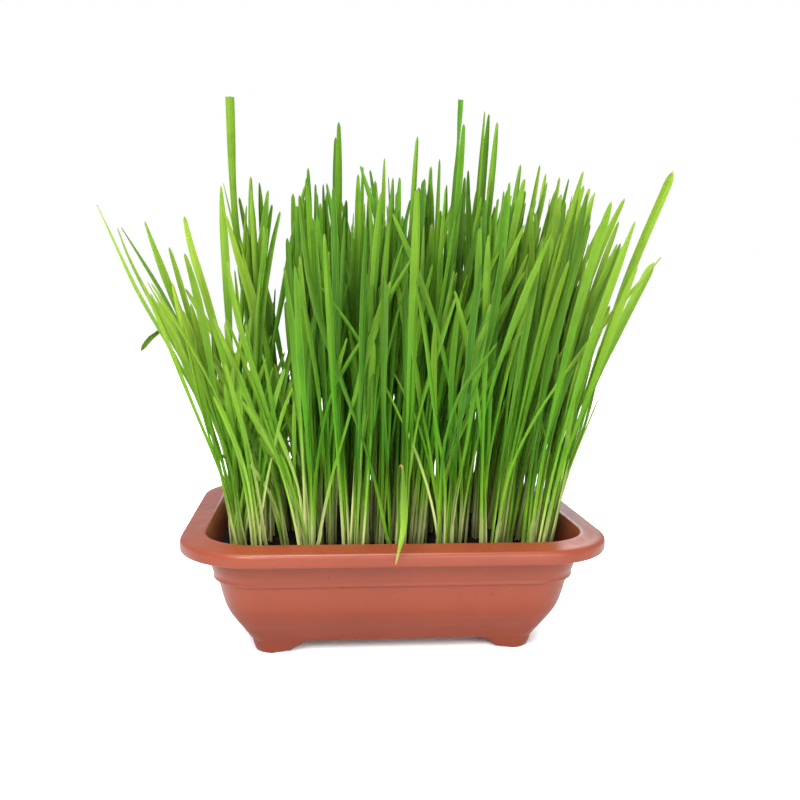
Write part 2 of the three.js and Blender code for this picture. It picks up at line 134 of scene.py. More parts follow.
# Lamps as (place, target, size, watts), in metres, and how bright the world is as light and as a reflection.
LAMPS = {
    "key": ((-0.5, -1.2, 0.9), (0, 0, 0.12), 0.7, 25),
    "fill": ((0.45, -1.15, 0.3), (0, 0, 0.1), 0.8, 9),
    "back": ((0.3, 1.2, 0.7), (0, 0, 0.12), 0.8, 5),
    "top": ((-0.1, -0.15, 1.4), (0, 0, 0.1), 0.7, 24),
}
WORLD_LIGHT = 0.2
MIRRORED_LIGHT = 0.7
FLOOR_HALF = 3000
# The floor under the planter glows less to the camera: painted shade, which darkens the planter's shadow
# there.
PAINTED_SHADE_FOOTPRINT = (0.065, 0.036)  # half sizes, in metres, of the floor under the planter that hardly glows

rng = random.Random(417)


# ---------------------------------------------------------------- curves and meshes

def smooth_curve(knots, values, at):
    """Values between the knots, on a smooth curve through all of them."""
    knots, values = np.asarray(knots, float), np.asarray(values, float)
    steps = np.diff(knots)
    slopes = np.diff(values, axis=0) / steps[:, None]
    tangents = np.empty_like(values)
    tangents[1:-1] = (slopes[:-1] * steps[1:, None] + slopes[1:] * steps[:-1, None]) / (
        steps[:-1] + steps[1:])[:, None]
    tangents[0], tangents[-1] = slopes[0], slopes[-1]
    k = np.clip(np.searchsorted(knots, at, side="right") - 1, 0, len(steps) - 1)
    h = steps[k][:, None]
    t = ((at - knots[k]) / steps[k])[:, None]
    return ((2 * t**3 - 3 * t**2 + 1) * values[k] + (t**3 - 2 * t**2 + t) * h * tangents[k]
            + (3 * t**2 - 2 * t**3) * values[k + 1] + (t**3 - t**2) * h * tangents[k + 1])


def smoothstep(low, high, value):
    t = np.clip((np.asarray(value, float) - low) / (high - low), 0, 1)
    return t * t * (3 - 2 * t)


def unit(vectors):
    return vectors / np.maximum(np.linalg.norm(vectors, axis=-1, keepdims=True), 1e-12)


def add_mesh(name, points, faces):
    """A smooth mesh object from points in millimetres."""
    mesh = bpy.data.meshes.new(name)
    mesh.from_pydata((np.asarray(points, float) * MM).tolist(), [], faces)
    mesh.polygons.foreach_set("use_smooth", [True] * len(mesh.polygons))
    mesh.update()
    piece = bpy.data.objects.new(name, mesh)
    bpy.context.scene.collection.objects.link(piece)
    return piece


def loft_faces(count, rings, first=0):
    """Faces of a tube of rings with that many points each, closed round the ring."""
    faces = []
    for k in range(rings - 1):
        start = first + k * count
        for i in range(count):
            j = (i + 1) % count
            faces.append((start + i, start + j, start + count + j, start + count + i))
    return faces


# ---------------------------------------------------------------- materials

def new_material(name):
    material = bpy.data.materials.new(name)
    material.use_nodes = True
    nodes = material.node_tree.nodes
    nodes.clear()
    return material, Graph(material.node_tree)


class Graph:
    """Short ways to add and link shader nodes."""

    def __init__(self, tree):
        self.tree = tree

    def node(self, kind, **settings):
        made = self.tree.nodes.new(kind)
        inputs = settings.pop("inputs", {})
        for key, value in settings.items():
            setattr(made, key, value)
        for key, value in inputs.items():
            self.put(made.inputs[key], value)
        return made

    def put(self, socket, value):
        if isinstance(value, bpy.types.NodeSocket):
            self.tree.links.new(value, socket)
        else:
            socket.default_value = value

    def math(self, operation, a, b=0.0, clamp=False):
        made = self.node("ShaderNodeMath", operation=operation, use_clamp=clamp)
        self.put(made.inputs[0], a)
        self.put(made.inputs[1], b)
        return made.outputs[0]

    def mix(self, factor, a, b, blend="MIX"):
        made = self.node("ShaderNodeMix", data_type="RGBA", blend_type=blend)
        self.put(made.inputs[0], factor)
        self.put(made.inputs[6], a)
        self.put(made.inputs[7], b)
        return made.outputs[2]

    def span(self, value, low, high, to_low=0.0, to_high=1.0):
        made = self.node("ShaderNodeMapRange", interpolation_type="SMOOTHSTEP")
        for i, item in enumerate((value, low, high, to_low, to_high)):
            self.put(made.inputs[i], item)
        return made.outputs[0]

    def noise(self, vector, scale, detail=3.0, rough=0.55):
        made = self.node("ShaderNodeTexNoise", inputs={"Vector": vector, "Scale": scale, "Detail": detail,
                                                       "Roughness": rough})
        return made.outputs[0]

    def stretched(self, vector, x, y, z):
        made = self.node("ShaderNodeMapping", inputs={"Vector": vector, "Scale": (x, y, z)})
        return made.outputs[0]

    def place(self):
        """Where a point is on the object."""
        return self.node("ShaderNodeTexCoord").outputs["Object"]

    def value(self, name):
        """The mesh's value of that name."""
        return self.node("ShaderNodeAttribute", attribute_name=name).outputs["Fac"]

    def bump(self, height, strength, distance):
        made = self.node("ShaderNodeBump", inputs={
            "Strength": strength, "Distance": distance, "Height": height})
        return made.outputs[0]

    def surface(self, colour, roughness, normal, specular=0.5):
        made = self.node("ShaderNodeBsdfPrincipled", inputs={
            "Base Color": colour, "Roughness": roughness, "Normal": normal, "Specular IOR Level": specular})
        return made.outputs[0]

    def output(self, shader):
        self.node("ShaderNodeOutputMaterial", inputs={"Surface": shader})


def srgb(red, green, blue):
    """A linear colour from 8-bit screen values."""
    def linear(value):
        value /= 255
        return value / 12.92 if value <= 0.04045 else ((value + 0.055) / 1.055) ** 2.4
    return (linear(red), linear(green), linear(blue), 1.0)


def leaf_material():
    material, g = new_material("grass_leaf")
    growth = g.node("ShaderNodeAttribute", attribute_name="growth")
    parts = g.node("ShaderNodeSeparateColor", inputs={"Color": growth.outputs["Color"]})
    along, rise, tone = parts.outputs[0], parts.outputs[1], parts.outputs[2]
    hue = growth.outputs["Alpha"]
    blade = g.node("ShaderNodeUVMap", uv_map="blade").outputs[0]
    place = g.place()
    round_it = g.node("ShaderNodeSeparateXYZ", inputs={"Vector": blade}).outputs[0]
    from_rib = g.math("ABSOLUTE", g.math("SUBTRACT", g.math("FRACT", g.math("MULTIPLY", round_it, 2.0)), 0.5))

    # Pale at the foot, deep green above it and lighter towards the tip. The deep green is partly the leaves'
    # own colour and partly painted shade, darkest in the tray's middle, where the leaves overlap.
    deep_green_and_shade = g.mix(hue, srgb(25, 91, 4), srgb(76, 127, 14))
    bright = g.mix(hue, srgb(84, 144, 26), srgb(158, 184, 56))
    fresh = g.mix(hue, srgb(58, 138, 8), srgb(104, 158, 22))
    deep_green_and_shade = g.mix(g.span(rise, 0.3, 0.55), fresh, deep_green_and_shade)
    green = g.mix(g.span(along, 0.42, 0.97), deep_green_and_shade, bright)
    green = g.mix(g.span(tone, 0.6, 1.0, 0.0, 0.45), green, g.mix(hue, srgb(54, 122, 26), srgb(118, 162, 50)))
    green = g.mix(g.span(tone, 0.45, 0.1, 0.0, 0.7), green, g.mix(hue, srgb(16, 74, 14), srgb(68, 112, 20)))
    late = g.span(tone, 0.72, 0.9, 0.0, 0.14)
    pale_end = g.math("ADD", g.math("ADD", 0.08, late), g.math("MULTIPLY", tone, 0.1))
    stem_end = g.math("ADD", g.math("ADD", 0.16, late), g.math("MULTIPLY", tone, 0.18))
    pale = g.mix(hue, srgb(250, 246, 176), srgb(190, 200, 108))
    pale = g.mix(g.span(tone, 0.5, 0.15), pale, srgb(112, 156, 48))
    # Painted shade: the stems are darker at their very foot, by the soil.
    pale = g.mix(g.span(rise, 0.0, 0.05), srgb(158, 150, 94), pale)
    stem = g.mix(g.span(rise, 0.03, pale_end), pale, srgb(146, 198, 50))
    colour = g.mix(g.span(rise, 0.05, stem_end), stem, green)

    # Parallel veins, blotches and dry places.
    veins = g.noise(g.stretched(blade, 14, 0.8, 1), 1.0, 1.0)
    blotch = g.noise(place, 60.0, 3.0)
    colour = g.mix(g.span(veins, 0.35, 0.7, 0.0, 0.24), colour, srgb(124, 178, 46))
    colour = g.mix(g.span(blotch, 0.5, 0.75, 0.0, 0.35), colour, srgb(52, 108, 14))
    colour = g.mix(g.span(from_rib, 0.03, 0.1, 0.2, 0.0), colour, srgb(48, 96, 18))
    # Painted light: the leaves' thin edges are lighter, standing in for light through them.
    colour = g.mix(g.span(from_rib, 0.4, 0.48, 0.0, 0.3), colour, srgb(166, 196, 84))
    # Painted shade: leaves low in the middle of the stand are darkened by the mesh's shade values.
    colour = g.mix(g.math("MULTIPLY", g.value("shade"), 0.55), colour, srgb(26, 32, 8))
    dry = g.value("dry")
    colour = g.mix(g.span(dry, 0.0, 0.5), colour, srgb(184, 168, 100))
    colour = g.mix(g.span(dry, 0.5, 1.0, 0.0, 0.85), colour, srgb(198, 116, 48))

    normal = g.bump(veins, 0.2, 0.0001)
    surface = g.surface(colour, g.span(blotch, 0.3, 0.7, 0.42, 0.56), normal, 0.2)
    glow = g.mix(0.5, colour, srgb(116, 182, 14))
    through = g.node("ShaderNodeBsdfTranslucent", inputs={"Color": glow, "Normal": normal})
    mixed = g.node("ShaderNodeMixShader", inputs={0: 0.37, 1: surface, 2: through.outputs[0]})
    g.output(mixed.outputs[0])
    return material


def planter_material():
    material, g = new_material("planter_plastic")
    place = g.place()
    cloud = g.noise(place, 18.0, 4.0)
    mottle = g.noise(place, 140.0, 4.0, 0.7)
    colour = g.mix(g.span(cloud, 0.35, 0.7), srgb(122, 53, 32), srgb(129, 57, 35))
    colour = g.mix(g.span(mottle, 0.45, 0.75, 0.0, 0.35), colour, srgb(118, 48, 30))

    # Small dark specks in the plastic, and a few crumbs of soil caught on it.
    specks = g.node("ShaderNodeTexVoronoi", inputs={"Vector": place, "Scale": 240.0})
    near = g.span(specks.outputs["Distance"], 0.06, 0.14, 1.0, 0.0)
    picked = g.node("ShaderNodeSeparateColor", inputs={"Color": specks.outputs["Color"]}).outputs[0]
    speck = g.math("MULTIPLY", near, g.span(picked, 0.84, 0.86))
    colour = g.mix(g.math("MULTIPLY", speck, 0.85), colour, srgb(74, 20, 16))

    grain = g.noise(place, 900.0, 2.0)
    dent = g.noise(place, 45.0, 2.0)
    height = g.math("ADD", g.math("MULTIPLY", grain, 0.25), dent)
    roughness = g.span(mottle, 0.3, 0.7, 0.3, 0.4)
    g.output(g.surface(colour, roughness, g.bump(height, 0.25, 0.0003), 0.36))
    return material


def soil_material():
    material, g = new_material("potting_soil")
    place = g.place()
    crumbs = g.noise(place, 420.0, 5.0, 0.7)
    patch = g.noise(place, 90.0, 4.0)
    colour = g.mix(g.span(crumbs, 0.35, 0.7), srgb(7, 6, 5), srgb(22, 18, 15))
    colour = g.mix(g.span(patch, 0.55, 0.8, 0.0, 0.6), colour, srgb(34, 26, 22))
    fibres = g.noise(g.stretched(place, 1, 3.5, 1), 260.0, 3.0)
    colour = g.mix(g.span(fibres, 0.66, 0.74, 0.0, 0.55), colour, srgb(84, 62, 44))
    height = g.math("ADD", crumbs, g.math("MULTIPLY", patch, 0.8))
    roughness = g.span(crumbs, 0.3, 0.7, 0.7, 0.95)
    g.output(g.surface(colour, roughness, g.bump(height, 0.8, 0.001), 0.08))
    return material


def bark_material():
    material, g = new_material("bark")
    place = g.place()
    grain = g.noise(g.stretched(place, 1, 5, 3), 260.0, 4.0, 0.65)
    colour = g.mix(g.span(grain, 0.3, 0.7), srgb(84, 44, 30), srgb(158, 92, 60))
    g.output(g.surface(colour, g.span(grain, 0.3, 0.7, 0.75, 0.95), g.bump(grain, 0.8, 0.0008)))
    return material


# ---------------------------------------------------------------- planter

def planter_outline(inset, steps=20, straight=14):
    """The corners and sides of a level section, as x, y points that run anticlockwise."""
    radius = max(LIP_CORNER_RADIUS - inset, SMALLEST_CORNER_RADIUS)
    half_x = PLANTER_LENGTH / 2 - inset - radius
    half_y = PLANTER_DEPTH / 2 - inset - radius
    corners = [(1, 1), (-1, 1), (-1, -1), (1, -1)]
    points = []
    for quarter, (sign_x, sign_y) in enumerate(corners):
        for i in range(steps + 1):
            angle = (quarter + i / steps) * math.pi / 2
            x = sign_x * half_x + radius * math.cos(angle)
            y = sign_y * half_y + radius * math.sin(angle)
            points.append((x, y))
        next_x, next_y = corners[(quarter + 1) % 4]
        end = (quarter + 1) * math.pi / 2
        start_x, start_y = points[-1]
        stop_x = next_x * half_x + radius * math.cos(end)
        stop_y = next_y * half_y + radius * math.sin(end)
        for i in range(1, straight):
            t = i / straight
            points.append((start_x + (stop_x - start_x) * t, start_y + (stop_y - start_y) * t))
    return np.array(points)


def arch_height(x, y):
    """The underside's height over a place: flat foot bottoms, then a curve up to the floor."""
    rise = 0
    for (ceiling, ground), distance in ((ARCH_BETWEEN_ENDS, np.abs(x)), (ARCH_BETWEEN_SIDES, np.abs(y))):
        share = np.clip((ground - distance) / (ground - ceiling), 0, 1)
        rise = np.maximum(rise, share ** ARCH_POWER)
    return UNDERSIDE * rise


def fine_profile(profile, extra=2):
    """The profile with points between its own, on a smooth curve that stops at crisp corners."""
    points, run = [], [profile[0]]
    for point in profile[1:]:
        run.append(point)
        if len(point) == 3 or point is profile[-1]:
            plain = np.array([p[:2] for p in run], float)
            knots = np.concatenate([[0], np.cumsum(np.linalg.norm(np.diff(plain, axis=0), axis=1))])
            at = np.interp(np.arange((len(run) - 1) * (extra + 1)), np.arange(len(run)) * (extra + 1), knots)
            points += smooth_curve(knots, plain, at).tolist()
            run = [point]
    return points + [list(profile[-1][:2])]


def make_planter(material):
    profile = fine_profile(OUTER_WALL + ROLLED_RIM + INNER_WALL)
    rings = []

    # The feet and the edge of the underside, which the arches raise between the feet.
    bottom = planter_outline(FOOT[0][0])
    low = arch_height(bottom[:, 0], bottom[:, 1])
    for inset, height in FOOT:
        outline = planter_outline(inset)
        rings.append(np.column_stack([outline, low + (profile[0][1] - low) * height / profile[0][1]]))
    for inset, height in profile:
        outline = planter_outline(inset)
        rings.append(np.column_stack([outline, np.full(len(outline), height)]))

    # The floor inside, drawn in to its middle, and the underside likewise.
    count = len(rings[0])
    floor = rings[-1]
    for share in (0.8, 0.6, 0.4, 0.2, 0.05):
        rings.append(np.column_stack([floor[:, :2] * share, floor[:, 2]]))
    under = []
    for share in np.linspace(0.985, 0.04, 40):
        flat = bottom * share
        under.append(np.column_stack([flat, arch_height(flat[:, 0], flat[:, 1])]))
    rings = under[::-1] + rings
    points = np.concatenate(rings)
    faces = loft_faces(count, len(rings))
    faces.append(tuple(reversed(range(count))))
    faces.append(tuple(range(len(points) - count, len(points))))
    piece = add_mesh("planter_shell", points, faces)
    piece.data.materials.append(material)

    cutter = make_drain_cutter()
    cut = piece.modifiers.new("drain_holes", "BOOLEAN")
    cut.object = cutter
    cut.solver = "EXACT"
    apply_modifiers(piece)
    bpy.data.objects.remove(cutter)
    return piece


def make_drain_cutter(sides=32):
    """Upright rods through the floor, one for each drain hole."""
    points, faces = [], []
    for x, y in DRAIN_HOLES:
        first = len(points)
        for height in (UNDERSIDE - 3, UNDERSIDE + 6):
            for i in range(sides):
                angle = i / sides * math.tau
                out_x, out_y = DRAIN_RADIUS * math.cos(angle), DRAIN_RADIUS * math.sin(angle)
                points.append((x + out_x, y + out_y, height))
        faces += loft_faces(sides, 2, first)
        faces.append(tuple(first + i for i in reversed(range(sides))))
        faces.append(tuple(first + sides + i for i in range(sides)))
    return add_mesh("drain_cutter", points, faces)


def apply_modifiers(piece):
    graph = bpy.context.evaluated_depsgraph_get()
    mesh = bpy.data.meshes.new_from_object(piece.evaluated_get(graph), depsgraph=graph)
    piece.modifiers.clear()
    piece.data = mesh


# ---------------------------------------------------------------- soil and bark

def ball(divisions):
    """Points and faces of a ball of radius 1."""
    mesh = bmesh.new()
    bmesh.ops.create_icosphere(mesh, subdivisions=divisions, radius=1)
    points = [tuple(vertex.co) for vertex in mesh.verts]
    faces = [tuple(vertex.index for vertex in face.verts) for face in mesh.faces]
    mesh.free()
    return points, faces


BALLS = {divisions: ball(divisions) for divisions in (1, 2, 3)}


def lump(radius, roughness, divisions):
    """Points and faces of a rough crumb round the origin."""
    key = random.Random(rng.random())
    seed = Vector((key.uniform(-50, 50), key.uniform(-50, 50), key.uniform(-50, 50)))
    stretch = (key.uniform(0.8, 1.25), key.uniform(0.8, 1.25), key.uniform(0.6, 0.9))
    round_points, faces = BALLS[divisions]
    points = []
    for p in round_points:
        push = 1 + roughness * noise.fractal(Vector(p) * 1.3 + seed, 0.8, 2.0, 3)
        points.append([p[k] * radius * push * stretch[k] for k in range(3)])
    return np.array(points), faces


def soil_height(x, y):
    """The soil's surface: lumpy, with a few mounds."""
    v = Vector((x, y, 0))
    bumps = 1.7 * noise.fractal(v * 0.06, 0.9, 2.1, 5)
    bumps += 0.5 * noise.fractal(v * 0.35 + Vector((7, 3, 1)), 0.8, 2, 3)
    mound = sum(h * math.exp(-((x - cx) ** 2 + (y - cy) ** 2) / r ** 2) for cx, cy, r, h in MOUNDS)
    return SOIL_TOP - 0.6 + bumps + mound


def make_soil(material):
    gap = 0.4  # between the soil and the planter's wall
    rings = []
    for inset, height in reversed(fine_profile(INNER_WALL, 1)):
        if height < SOIL_TOP - 1:
            outline = planter_outline(inset + gap)
            rings.append(np.column_stack([outline, np.full(len(outline), height + gap)]))
    edge = rings[-1]
    for share in np.linspace(0.995, 0.02, 75):
        flat = edge[:, :2] * share
        heights = [soil_height(x, y) for x, y in flat]
        blend = smoothstep(0.9, 1.0, share) if share > 0.9 else 0
        rings.append(np.column_stack([flat, np.array(heights) * (1 - blend) + edge[:, 2] * blend]))
    count = len(edge)
    points = list(np.concatenate(rings))
    faces = loft_faces(count, len(rings))
    faces.append(tuple(reversed(range(count))))
    faces.append(tuple(range(len(points) - count, len(points))))
    margin, corner = 5, 14  # no crumbs at the wall and in the rounded corners
    half_x, half_y = edge[:, 0].max() - margin, edge[:, 1].max() - margin
    for i in range(CRUMBS):
        x, y = rng.uniform(-half_x, half_x), rng.uniform(-half_y, half_y)
        if abs(x) > half_x - corner and abs(y) > half_y - corner:
            continue
        radius = 0.5 + 2.4 * rng.random() ** 3
        crumb, crumb_faces = lump(radius, 0.5, 1 if radius < 1.2 else 2)
        first = len(points)
        points += list(crumb + np.array([x, y, soil_height(x, y) + radius * 0.25]))
        faces += [tuple(first + k for k in f) for f in crumb_faces]
    piece = add_mesh("soil_surface", points, faces)
    piece.data.materials.append(material)
    return piece


def make_bark(node, material):
    low, high = (np.array(corner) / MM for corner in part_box(node))
    middle, size = (low + high) / 2, high - low
    points, faces = lump(1.0, 0.35, 3)
    points = points / np.abs(points).max(axis=0)
    boxy = np.sign(points) * np.abs(points) ** 0.6
    lift = soil_height(middle[0], middle[1]) - SOIL_TOP
    points = boxy * size * [0.5, 0.42, 0.5] + middle + [0, 0, lift]
    piece = add_mesh(node.replace("bark_chip", "bark"), points, faces)
    piece.data.materials.append(material)
    return piece


# ---------------------------------------------------------------- grass

def read_leaves(node):
    """The leaves of a tuft of the frame.

    Each is a list of its sections from foot to tip, as (centre, way across, width).
    """
    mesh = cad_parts[node].data
    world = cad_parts[node].matrix_world
    index, points, weld = {}, [], []
    for vertex in mesh.vertices:
        place = world @ vertex.co / MM
        key = tuple(round(c, 2) for c in place)
        if key not in index:
            index[key] = len(points)
            points.append(np.array(place))
        weld.append(index[key])  # the faces at an edge have vertices of their own, in one place
    links = {i: set() for i in range(len(points)) if points[i][2] > SOIL_TOP + 0.6}
    for face in mesh.polygons:
        ring = [weld[v] for v in face.vertices]
        for a, b in zip(ring, ring[1:] + ring[:1]):
            if a != b and a in links and b in links:
                links[a].add(b)
                links[b].add(a)
    leaves, seen = [], set()
    for start in links:
        if start in seen:
            continue
        group, todo = {start}, [start]
        while todo:
            fresh = links[todo.pop()] - group
            group |= fresh
            todo += fresh
        seen |= group
        tips = [i for i in group if len(links[i]) == 3]
        if len(group) % 3 != 1 or not tips:
            continue
        tip = max(tips, key=lambda i: layer_score(i, group, links, points))
        leaves.append(sections_from(tip, group, links, points))
    return leaves


def layer_score(tip, group, links, points):
    """Highest for the leaf's tip: the layers outwards from it are all rings of three, and it is high up."""
    layers = layers_from(tip, group, links)
    return all(len(layer) == 3 for layer in layers[1:]), points[tip][2]


def layers_from(tip, group, links):
    """The vertices in layers: the tip, its neighbours, theirs and so on."""
    layers, seen = [[tip]], {tip}
    while len(seen) < len(group):
        fresh = sorted({j for i in layers[-1] for j in links[i]} - seen)
        if not fresh:
            break
        layers.append(fresh)
        seen |= set(fresh)
    return layers


def sections_from(tip, group, links, points):
    """A section for each layer below the tip, then one of no width at the tip."""
    sections = []
    for layer in layers_from(tip, group, links)[1:]:
        corners = [points[i] for i in layer]
        centre = sum(corners) / len(corners)
        pairs = [(corners[a], corners[b]) for a, b in ((0, 1), (1, 2), (0, 2))]
        a, b = max(pairs, key=lambda pair: np.linalg.norm(pair[0] - pair[1]))
        across = (b - a) / np.linalg.norm(b - a)
        if sections and across @ sections[-1][1] < 0:
            across = -across
        sections.append((centre, across, float(np.linalg.norm(b - a))))
    return sections[::-1] + [(points[tip], sections[0][1], 0.0)]


class Leaf:
    """A leaf: points along its middle, the way its width points at them, and its shape.

    Its tip is (its width near the end as a share, the length over which it narrows, how late it does so).
    """

    def __init__(self, centres, across, width, kind="blade", stem=1.7, opening=(0.05, 0.65), waist=None,
                 bent=False):
        self.centres, self.across = np.array(centres), np.array(across)
        steps = np.linalg.norm(np.diff(self.centres, axis=0), axis=1)
        self.knots = np.concatenate([[0], np.cumsum(steps)])
        self.length = self.knots[-1]
        self.width, self.kind, self.stem, self.opening = width, kind, stem, opening
        self.waist, self.bent = waist, bent
        if self.centres[-1][0] > LONE_RIGHT:
            self.tip = (0.7, 12, 2.4)
        elif width > BROAD:
            self.tip = (0.25, 30, 1.9)
        elif rng.random() < 0.05 or self.centres[-1][0] < LONE_LEFT:  # long and pointed
            self.tip = (0.2, rng.uniform(30, 60), rng.uniform(1.2, 1.6))
        else:
            self.tip = (rng.uniform(0.2, 0.45), rng.uniform(16, 34), rng.uniform(1.5, 2.3))
        faces_front = waist or self.centres[-1][0] > LONE_RIGHT
        self.turn = 0 if faces_front else rng.gauss(0, 0.35)
        self.roll = rng.uniform(0.15, 0.8)
        self.crease = rng.uniform(0.05, 0.24)
        self.side = rng.choice([-1, 1])
        self.wave = (rng.uniform(0, math.tau), rng.uniform(0.2, 0.9), rng.uniform(1.2, 2.6))
        self.tone, self.hue = rng.random(), rng.random()
        if bent:
            self.tone, self.hue = 0.1, 1.3
            self.tip = (0.12, 26, 1.3) if self.centres[-1][2] < RIM_TOP else (0.6, 8, 2.0)

    def at(self, share):
        """Places along the leaf, at shares of its length."""
        return smooth_curve(self.knots, self.centres, np.asarray(share) * self.length)

    def heading(self, share):
        """Which way it grows there."""
        return unit(self.at(np.minimum(share + 0.004, 1)) - self.at(np.maximum(share - 0.004, 0)))

    def rings(self):
        """The shares of its length at which it has a section, closer together at its end."""
        if self.kind == "sheath":
            return np.linspace(0, 1, 5)
        from_tip = np.array([9, 6, 4, 2.5, 1.5, 0.8, 0.4, 0.15, 0])
        even = np.linspace(0, self.length - 14, max(8, int(self.length / (3 if self.bent else 8))))
        return np.concatenate([even, self.length - from_tip]) / self.length

    def size(self, s):
        """Its width and the angle it is rolled through, at shares of its length."""
        if self.kind == "sheath":
            return np.full_like(s, self.width), np.full_like(s, 5.9)
        left = (1 - s) * self.length
        width = self.stem + (self.width - self.stem) * smoothstep(*self.opening, s)
        if self.waist:  # a cut end keeps its width, above a narrower place
            narrow, below = self.waist
            width *= 1 - (1 - narrow) * np.exp(-((left / below - 1) / 0.45) ** 2)
        else:
            end, reach, bow = self.tip
            width *= end + (1 - end) * (1 - (1 - np.clip(left / reach, 0, 1)) ** bow)
            nose = np.clip(left / (1.7 * self.width * end), 0.02, 1)
            width *= (1 - (1 - nose) ** 2) ** 0.8
        start, stop = self.opening
        return width, 5.6 + (self.roll - 5.6) * smoothstep(start * 0.6, 0.6 * start + 0.4 * stop, s)

    def dryness(self, s):
        """0 where it is green, 0.5 where it is straw and 1 where it is brown."""
        left = (1 - s) * self.length
        if not self.bent:
            return 0.16 * (self.tone > 0.7) * smoothstep(8, 0, left)
        hangs = self.centres[-1][2] < RIM_TOP
        crest = hangs * np.exp(-(self.heading(s)[:, 2] / 0.3) ** 2)
        return 0.06 + 0.04 * hangs + 0.3 * hangs * smoothstep(9, 1, left) + 0.86 * crest


def leaf_mesh(leaf, columns=5):
    """A closed thin strip. Returns points, faces and, for each point, (share along, share round)."""
    s = leaf.rings()
    ahead = leaf.heading(s)
    across = smooth_curve(leaf.knots, leaf.across, s * leaf.length)
    across = unit(across - ahead * np.sum(across * ahead, axis=1, keepdims=True))
    turn = (leaf.turn * s)[:, None]
    across = across * np.cos(turn) + np.cross(ahead, across) * np.sin(turn)
    back = np.cross(ahead, across) * leaf.side
    phase, size, turns = leaf.wave
    sway = size * np.sin(phase + turns * math.pi * s) * np.sin(math.pi * s)
    centre = leaf.at(s) + across * sway[:, None]

    width, roll = leaf.size(s)
    radius = width / (2 * np.sin(np.minimum(roll / 2, math.pi / 2)))
    u = np.linspace(-1, 1, columns)
    angle = u[None, :] * roll[:, None] / 2
    fold = leaf.crease * width[:, None] * np.abs(u)[None, :] * smoothstep(3.0, 1.2, roll)[:, None]
    x = radius[:, None] * np.sin(angle)
    middle = radius * (1 - np.sin(roll / 2) / (roll / 2))
    y = radius[:, None] * (1 - np.cos(angle)) - middle[:, None] + fold - fold.mean(axis=1, keepdims=True)
    half = np.minimum(0.13, width[:, None] * 0.12) * (1 - 0.65 * np.abs(u)[None, :] ** 3)
    if leaf.kind == "sheath":
        half = np.full_like(x, 0.12)
    normal_x, normal_y = -np.sin(angle), np.cos(angle)
    loop_x = np.concatenate([x - normal_x * half, (x + normal_x * half)[:, ::-1]], axis=1)
    loop_y = np.concatenate([y - normal_y * half, (y + normal_y * half)[:, ::-1]], axis=1)
    points = centre[:, None, :] + across[:, None, :] * loop_x[:, :, None]
    points += back[:, None, :] * loop_y[:, :, None]
    count = 2 * columns
    if leaf.kind == "sheath":  # a slanting mouth
        drop = (1 - np.cos(np.linspace(-math.pi, math.pi, columns))) * 0.5
        points[-1] -= ahead[-1] * (np.concatenate([drop, drop[::-1]]) * leaf.width * 1.6)[:, None]
    faces = loft_faces(count, len(s))
    faces += [tuple(reversed(range(count))), tuple(range((len(s) - 1) * count, len(s) * count))]
    if leaf.side < 0:
        faces = [tuple(reversed(f)) for f in faces]
    round_share = np.concatenate([np.linspace(0, 0.5, columns), np.linspace(0.5, 1, columns)])
    shares = np.stack(np.meshgrid(s, round_share, indexing="ij"), axis=-1).reshape(-1, 2)
    return points.reshape(-1, 3), faces, shares


def has_room(leaf):
    """Whether an added leaf stays inside the tray's box and out of the canopy's partings."""
    for x, y, z in leaf.at(np.linspace(0.15, 1, 14)):
        left, right = (start + slope * (z - SOIL_TOP) for start, slope in (REACH_LEFT, REACH_RIGHT))
        if x > right or x < left or abs(y) > REACH_SIDE:
            return False
        if x < LONE_FAN and z > FAN_TOP:
            return False
        if abs(x - HANGING[0]) < HANGING_ROOM and y < HANGING[1] and z < HANGING[2]:
            return False
        share = (z - PARTING_HEIGHTS[0]) / (PARTING_HEIGHTS[1] - PARTING_HEIGHTS[0])
        parted = any(abs(x - low - (high - low) * share) < half for low, high, half in PARTINGS)
        if z > PARTED_ABOVE and parted:
            return False
    return True


def keep_in_pot(foot):
    """The foot, moved in where it would stand in the planter's wall."""
    inner = np.array([PLANTER_LENGTH, PLANTER_DEPTH]) / 2 - LIP_CORNER_RADIUS
    corner = np.clip(foot[:2], -inner, inner)
    out = foot[:2] - corner
    reach = LIP_CORNER_RADIUS - STEM_INSET
    return np.append(corner + out * min(1, reach / max(np.linalg.norm(out), 1e-6)), foot[2])


def fan_hue(leaf):
    """The leaves lean to yellow at the tray's ends, and are deep green in its middle, where the darker green
    is partly painted shade for the overlapping leaves.
    """
    outward = float(smoothstep(35, 115, abs(leaf.centres[-1][0])))
    return 0.02 + 0.56 * outward + 0.38 * leaf.hue


